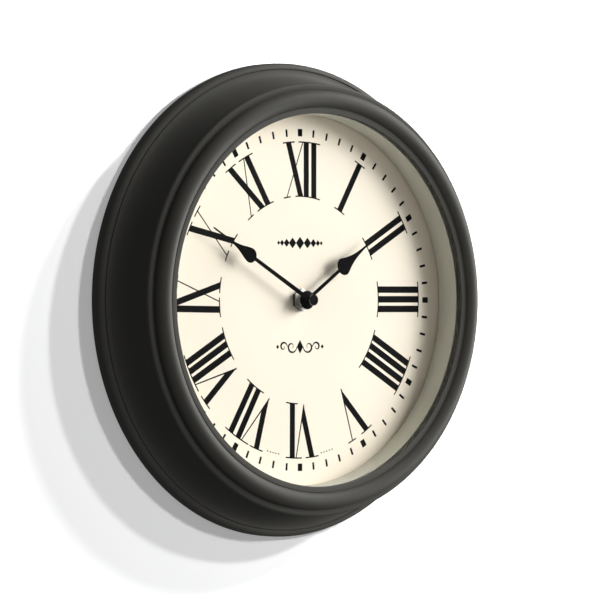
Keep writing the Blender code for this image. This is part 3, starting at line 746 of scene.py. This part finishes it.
def ribbon(points, widths):
    """A flat strip along the points, as wide as the widths say."""
    left = []
    right = []
    for i, (x, y) in enumerate(points):
        ahead = Vector(points[min(i + 1, len(points) - 1)]) - Vector(points[max(i - 1, 0)])
        side = Vector((-ahead.y, ahead.x)).normalized() * widths[i] / 2
        left.append((x + side.x, y + side.y))
        right.append((x - side.x, y - side.y))
    return left + right[::-1]


def lozenge(x, y, half_width, half_height):
    return [(x - half_width, y), (x, y - half_height), (x + half_width, y), (x, y + half_height)]


def scroll(side, x, y, size, turns, flip):
    """A tapering spiral that leaves a point and curls in on itself."""
    count = 34
    points = []
    widths = []
    for i in range(count):
        t = i / (count - 1)
        radius = size * (1 - 0.82 * t)
        angle = math.pi + turns * FULL_TURN * t
        across, up = polar(radius, angle)
        points.append((side * (x + size + across), y + flip * up))
        widths.append(0.35 + 0.95 * math.sin(math.pi * min(1.0, 0.15 + t)) ** 2)
    return ribbon(points, widths)


def make_ornaments():
    """Plain ornaments above and below the hands, and rows of dots beside the six."""
    loops = [lozenge(0, UPPER_ORNAMENT, 3.4, 4.0)]
    for side in (-1, 1):
        reach = 0.0
        for size in UPPER_LOZENGES:
            reach += 1.85 * size + 0.6
            loops.append(lozenge(side * reach, UPPER_ORNAMENT, size, 1.15 * size))
    loops.append(lozenge(0, LOWER_ORNAMENT, 2.6, 4.4))
    for side in (-1, 1):
        loops.append(scroll(side, 2.6, LOWER_ORNAMENT, 4.2, 1.15, 1))
        loops.append(scroll(side, 10.4, LOWER_ORNAMENT, 3.2, 1.1, -1))
        loops.append(lozenge(side * 18.4, LOWER_ORNAMENT, 1.2, 1.4))
    count, ring, radius = DOTS
    for side in (-1, 1):
        for i in range(count):
            middle = clockwise(ring, math.radians(180 + side * (10.3 + 1.35 * i)))
            loops.append(circle(radius, 12, middle))
    ornaments = merged(loops, *PRINT)
    piece("dial_ornaments", ornaments, INK, "clock_case")


# ------------------------------------------------------------------- hands and centre


def hand_outline(boss, stem, bulb_at, bulb, base, taper, needle, tip):
    """A spade hand along +Y: boss, stem, round-based bulb and needle."""
    length, power = taper
    corner = math.asin(stem[1] / bulb)
    side = [(stem[0], math.sqrt(boss * boss - stem[0] * stem[0]))]
    for i in range(17):
        t = corner + (math.pi / 2 - corner) * i / 16
        side.append((bulb * math.sin(t), bulb_at - base * math.cos(t)))
    for i in range(1, 29):
        reach = 2.6 * length * i / 28
        width = needle + (bulb - needle) * math.exp(-((reach / length) ** power))
        side.append((width, bulb_at + reach))
    side.append((needle, tip - 1.2))
    start = math.atan2(side[0][1], side[0][0])
    points = arc((0, 0), boss, math.pi - start, FULL_TURN + start, 49)[1:-1]
    return side + [(0, tip)] + [(-x, y) for x, y in reversed(side)] + points


def turned_to(points, angle):
    spin = Matrix.Rotation(-angle, 2)
    return [tuple(spin @ Vector(point)) for point in points]


def make_hands():
    loops = [turned_to(hand_outline(**HOUR_BLADE), HOUR_ANGLE), circle(HOUR_BORE, 48)]
    hour = plate(loops, *HOUR_PLATE, 0.1)
    piece("hour_hand_spade", hour, LACQUER, "hour_hand", ["hour_hand"])
    collet = turned(softened(ring_section(HOUR_BORE, *COLLET), 0.15), MEDIUM)
    piece("hour_hand_collet", collet, GLOSSY_LACQUER, "hour_hand")
    loops = [turned_to(hand_outline(**MINUTE_BLADE), MINUTE_ANGLE), circle(MINUTE_BORE, 48)]
    minute = plate(loops, *MINUTE_PLATE, 0.1)
    piece("minute_hand_spade", minute, LACQUER, "minute_hand", ["minute_hand"])
    section = [(0, 34.6), (3.0, 34.6), (3.45, 34.2), (3.45, 33.1), (2.8, 32.8), (2.8, 30.5)]
    section += [(1.65, 30.5), (1.65, 33.6), (0, 33.6)]
    nut = turned(section, MEDIUM)
    piece("hand_nut_cap", nut, GLOSSY_LACQUER, "minute_hand", ["hand_nut"])


def make_fixing():
    crest, root = THREAD
    section = [(2.8, 24.4), (3.7, 24.4)]
    for i in range(THREAD_TURNS):
        z = THREAD_TOP - THREAD_PITCH * i
        section += [(crest, z), (root, z - THREAD_PITCH / 2)]
    section += [(crest, 21.2), (crest, 17.0), (5.5, 17.0), (5.5, 16.2), (2.8, 16.2)]
    bush = turned(section, MEDIUM)
    name = "threaded_bush_turning"
    piece(name, bush, SATIN_NICKEL, "clock_case", ["threaded_bush"])
    corner = NUT_ACROSS_FLATS / math.sqrt(3)
    hexagon = [polar(corner, math.radians(30 + 60 * i)) for i in range(6)]
    nut = plate([softened(hexagon, 0.5), circle(FIXING_BORE, 64)], *NUT, 0.3)
    name = "fixing_nut_hexagon"
    made = piece(name, nut, SATIN_NICKEL, "clock_case", ["fixing_nut"])
    # The side facets get the near-black nickel, which is painted shade on the nut's flanks.
    nut.materials.append(PAINTED_SHADE_NICKEL_FLANK)
    for face in made.data.polygons:
        face.material_index = int(abs(face.normal.y) < 0.5)
    radius, low, high = WASHER
    washer = plate([circle(radius, 96), circle(FIXING_BORE, 64)], low, high, 0.08)
    piece("dial_washer_disc", washer, CHROME, "clock_case", ["dial_washer"])


# ------------------------------------------------------------------------ back of clock


def rounded_rectangle(width, height, radius, centre=(0, 0), count=8):
    points = []
    for quarter in range(4):
        x = width / 2 - radius if quarter in (0, 3) else radius - width / 2
        y = height / 2 - radius if quarter in (0, 1) else radius - height / 2
        start = quarter * QUARTER
        points += arc((centre[0] + x, centre[1] + y), radius, start, start + QUARTER, count)
    return points


def keyhole(radius, slot, entry, seat):
    shoulder = math.acos(slot / 2 / radius)
    points = arc((0, entry), radius, math.pi - shoulder, FULL_TURN + shoulder, 40)
    return points + arc((0, seat), slot / 2, 0, math.pi, 20)


def screw(name, x, y, seat, length, node):
    """A pan-head screw whose head faces the wall, with a cross recess."""
    rim = seat - HEAD_RIM
    section = [(0, seat + length), (0.7, seat + length), (SHANK, seat + length - 0.8)]
    section += [(SHANK, seat), (HEAD_RADIUS, seat), (HEAD_RADIUS, rim)]
    for spread, drop in arc((0, 0), 1, 0, -QUARTER, 9)[1:-1]:
        section.append((HEAD_RADIUS * spread, rim + HEAD_CROWN * drop))
    section.append((0, rim - HEAD_CROWN))
    blank = bpy.data.objects.new("blank", turned(section, 40, (x, y)))
    reach, half = RECESS_REACH, RECESS_HALF
    limb = [(-half, -half), (-half, -reach), (half, -reach)]
    cross = []
    for dx, dy in limb:
        cross.append((x + dx, y + dy))
    for dx, dy in limb:
        cross.append((x - dy, y + dx))
    for dx, dy in limb:
        cross.append((x - dx, y - dy))
    for dx, dy in limb:
        cross.append((x + dy, y - dx))
    recess = plate([cross], seat - 2, rim - 0.1)
    tool = bpy.data.objects.new("recess", recess)
    for made in (blank, tool):
        bpy.context.scene.collection.objects.link(made)
    cut = blank.modifiers.new("cross", "BOOLEAN")
    cut.operation = "DIFFERENCE"
    cut.object = tool
    graph = bpy.context.evaluated_depsgraph_get()
    mesh = bpy.data.meshes.new_from_object(blank.evaluated_get(graph))
    for made in (blank, tool):
        bpy.data.objects.remove(made)
    piece(name, mesh, ZINC, "clock_case", [node])


def make_back():
    hanger_holes = []
    for side in (-1, 1):
        hanger_holes.append(circle(SCREW_HOLE, 24, (side * HANGER_SCREWS, HANGER_HEIGHT)))
    radius, low, high = COVER
    loops = [circle(radius, FINE), rounded_rectangle(MOVEMENT_WINDOW, MOVEMENT_WINDOW, 3)]
    loops.append(rounded_rectangle(16, 26, 4, (0, HANGER_HEIGHT)))
    for i in range(4):
        loops.append(circle(SCREW_HOLE, 24, polar(COVER_SCREWS, i * QUARTER)))
    cover = plate(loops + hanger_holes, low, high, 0.2)
    piece("back_cover_panel", cover, PLASTIC, "clock_case", ["back_cover"])

    ribs = []
    count = 64
    for radius in RIB_RINGS:
        for i in range(count):
            start, stop = FULL_TURN * i / count, FULL_TURN * (i + 1) / count
            rib = [polar(radius, start), polar(radius + RIB_WIDTH, start)]
            ribs.append(rib + [polar(radius + RIB_WIDTH, stop), polar(radius, stop)])
    for i in range(SPOKES):
        if i == TOP_SPOKE:
            continue
        out = Vector(polar(1, FULL_TURN * i / SPOKES))
        side = Vector((-out.y, out.x)) * RIB_WIDTH / 2
        near, far = (out * (radius + RIB_WIDTH / 2) for radius in RIB_RINGS)
        corners = (near - side, far - side, far + side, near + side)
        ribs.append([tuple(corner) for corner in corners])
    stiffeners = merged(ribs, *RIB_HEIGHTS)
    piece("back_cover_ribs", stiffeners, PLASTIC, "clock_case")

    loops = [rounded_rectangle(46, 26, 4, (0, HANGER_HEIGHT)), keyhole(4.75, 5.2, 104, 111.4)]
    hanger = plate(loops + hanger_holes, *HANGER, 0.15)
    piece("hanger_pressing", hanger, ZINC, "clock_case", ["hanger_plate"])
    for i in range(4):
        x, y = polar(COVER_SCREWS, i * QUARTER)
        screw(f"cover_screw_turning_{i + 1}", x, y, 4.1, 4.6, f"cover_screw_{i + 1}")
    for i, x in enumerate((-HANGER_SCREWS, HANGER_SCREWS)):
        name = f"hanger_screw_turning_{i + 1}"
        screw(name, x, HANGER_HEIGHT, 2.6, 4.6, f"hanger_screw_{i + 1}")


def dress_nodes():
    """Gives every CAD node that stays in view the finish of its slot."""
    finishes = {
        "charcoal_case": CHARCOAL,
        "clear_glass": GLASS_FINISH,
        "cream_dial": CREAM,
        "black_hand": LACQUER,
        "black_plastic": SMOOTH_PLASTIC,
        "zinc_steel": ZINC,
        "chrome_metal": CHROME,
        "brass_metal": BRASS,
        "black_rubber": RUBBER,
        "white_acetal": ACETAL,
        "copper_wire": COPPER,
        "green_board": BOARD,
        "dark_magnet": MAGNET,
        "cell_jacket": CELL,
    }
    for entry in frame["record"]["subparts"]:
        for holder in frame["nodes"][entry["node"]].material_slots:
            holder.material = finishes[entry["material_slot"]]


# -------------------------------------------------------------------- stage and lights


def camera():
    centre = Vector(at(0, 0, DIAL[3]))
    lens = bpy.data.cameras.new("camera")
    lens.lens = 272.8
    lens.sensor_width = 36
    lens.clip_end = 20
    made = bpy.data.objects.new("camera", lens)
    made.location = centre + 2.871 * Vector((-0.644, -0.765, 0)).normalized()
    made.rotation_euler = (centre - made.location).to_track_quat("-Z", "Y").to_euler()
    bpy.context.scene.collection.objects.link(made)
    bpy.context.scene.camera = made


def add_light(light, direction, distance, spared=(), only=()):
    """Places a light towards a direction, and says which objects it spares or serves."""
    made = bpy.data.objects.new(light.name, light)
    away = Vector(direction).normalized()
    made.location = away * distance
    made.rotation_euler = (-away).to_track_quat("-Z", "Y").to_euler()
    bpy.context.scene.collection.objects.link(made)
    linked = bpy.data.collections.new(light.name + "_links")
    for item in spared or only:
        linked.objects.link(item)
    for entry in linked.collection_objects:
        entry.light_linking.link_state = "EXCLUDE" if spared else "INCLUDE"
    made.light_linking.receiver_collection = linked


def softbox(name, direction, distance, size, power, **served):
    light = bpy.data.lights.new(name, "AREA")
    light.shape = "ELLIPSE"
    light.size, light.size_y = size
    light.energy = power
    add_light(light, direction, distance, **served)


def wall_lamp(name, slope, reach, share, radius, wall):
    """A small lamp that adds a share of white to the wall, and the clock's shadow.

    The reach is its distance out from the wall, and the slope leads to it from the clock.
    """
    light = bpy.data.lights.new(name, "POINT")
    light.shadow_soft_size = radius
    direction = Vector((slope[0], -1, slope[1]))
    distance = reach * direction.length
    light.energy = share * 4 * math.pi**2 * distance**2 * direction.length / WALL_TONE
    add_light(light, direction, distance, only=[wall])


def stage_sheet(name, corners, glow):
    """A pale sheet that is seen only from its front."""
    mesh = bpy.data.meshes.new(name)
    mesh.from_pydata(corners, [], [tuple(range(len(corners)))])
    sheet = bpy.data.objects.new(name, mesh)
    bpy.context.scene.collection.objects.link(sheet)
    material = bpy.data.materials.new(name)
    material.use_nodes = True
    tree = material.node_tree
    shader = tree.nodes["Principled BSDF"]
    shader.inputs["Base Color"].default_value = (WALL_TONE, WALL_TONE, WALL_TONE, 1)
    shader.inputs["Roughness"].default_value = 1.0
    shader.inputs["Specular IOR Level"].default_value = 0.0
    shader.inputs["Emission Color"].default_value = (1, 1, 1, 1)
    shader.inputs["Emission Strength"].default_value = glow
    clear = tree.nodes.new("ShaderNodeBsdfTransparent")
    facing = tree.nodes.new("ShaderNodeNewGeometry")
    mix = tree.nodes.new("ShaderNodeMixShader")
    tree.links.new(facing.outputs["Backfacing"], mix.inputs["Fac"])
    tree.links.new(shader.outputs["BSDF"], mix.inputs[1])
    tree.links.new(clear.outputs["BSDF"], mix.inputs[2])
    tree.links.new(mix.outputs["Shader"], tree.nodes["Material Output"].inputs["Surface"])
    mesh.materials.append(material)
    sheet.visible_diffuse = False
    sheet.visible_glossy = False
    return sheet


def make_stage():
    behind = 0.0006
    floor = -0.75
    wall = [(-4, behind, floor), (4, behind, floor), (4, behind, 4), (-4, behind, 4)]
    wall = stage_sheet("studio_wall", wall, 0.28)
    ground = [(-4, -6, floor), (4, -6, floor), (4, behind, floor), (-4, behind, floor)]
    ground = stage_sheet("studio_floor", ground, 0.85)

    world = bpy.data.worlds.new("studio")
    bpy.context.scene.world = world
    world.use_nodes = True
    tree = world.node_tree
    dim = tree.nodes["Background"]
    dim.inputs["Color"].default_value = (0.97, 0.98, 1.0, 1)
    dim.inputs["Strength"].default_value = 0.14
    bright = tree.nodes.new("ShaderNodeBackground")
    bright.inputs["Color"].default_value = (1, 1, 1, 1)
    path = tree.nodes.new("ShaderNodeLightPath")
    mix = tree.nodes.new("ShaderNodeMixShader")
    tree.links.new(path.outputs["Is Camera Ray"], mix.inputs["Fac"])
    tree.links.new(dim.outputs["Background"], mix.inputs[1])
    tree.links.new(bright.outputs["Background"], mix.inputs[2])
    tree.links.new(mix.outputs["Shader"], tree.nodes["World Output"].inputs["Surface"])

    sheets = [wall, ground]
    face = [bpy.data.objects[name] for name in ("dial_disc", "rehaut_band")]
    body = [bpy.data.objects[name] for name in ("case_shell_moulding", "bezel_moulding")]
    softbox("key", (1.12, -1.0, 0.90), 1.8, (1.0, 1.0), 62, spared=sheets + body + face)
    softbox("dial_key", (1.25, -1, 0.5), 1.8, (1.4, 1.4), 40, only=face)
    softbox("dial_fill", (0.76, -1, 0.36), 1.8, (0.9, 0.9), 16, only=face)
    softbox("dial_low_fill", (0.35, -1, -0.25), 1.8, (1.6, 1.6), 6.8, only=face)
    metal = [bpy.data.objects[name] for name in ("fixing_nut_hexagon", "threaded_bush_turning")]
    softbox("metal_glow", (0.64, -0.77, 0.1), 2.0, (1.2, 1.2), 8, only=metal)
    softbox("case_front", (0.2, -1, 0), 2.0, (1.2, 1.2), 10, only=body)
    softbox("case_right", (1, -0.3, 0), 2.0, (1.2, 1.2), 37, only=body)
    softbox("case_high", (0.42, -0.5, 0.76), 2.0, (1.2, 1.2), 8, only=body)
    softbox("case_high_right", (0.85, -0.3, 0.6), 2.0, (1.2, 1.2), 34, only=body)
    softbox("back_light", (0.6, 0.75, 0.8), 2.0, (1.0, 1.0), 430, spared=sheets + body)
    softbox("back_fill", (-0.7, 0.9, 0.2), 2.0, (1.6, 1.2), 260, spared=sheets + body)
    softbox("back_rim", (0.1, 1, 0.1), 2.0, (0.8, 0.8), 60, only=body)
    wall_lamp("near_shadow_lamp", (0.395, 0.22), 0.7, 0.375, 0.018, wall)
    wall_lamp("middle_shadow_lamp", (0.89, 0.52), 0.65, 0.37, 0.022, wall)
    wall_lamp("far_shadow_lamp", (1.36, 0.94), 0.55, 0.5, 0.05, wall)
    bpy.context.scene.view_settings.view_transform = "Standard"


camera()
make_case()
make_bezel()
make_front()
make_numerals()
make_track()
make_ornaments()
make_hands()
make_fixing()
make_back()
dress_nodes()
make_stage()
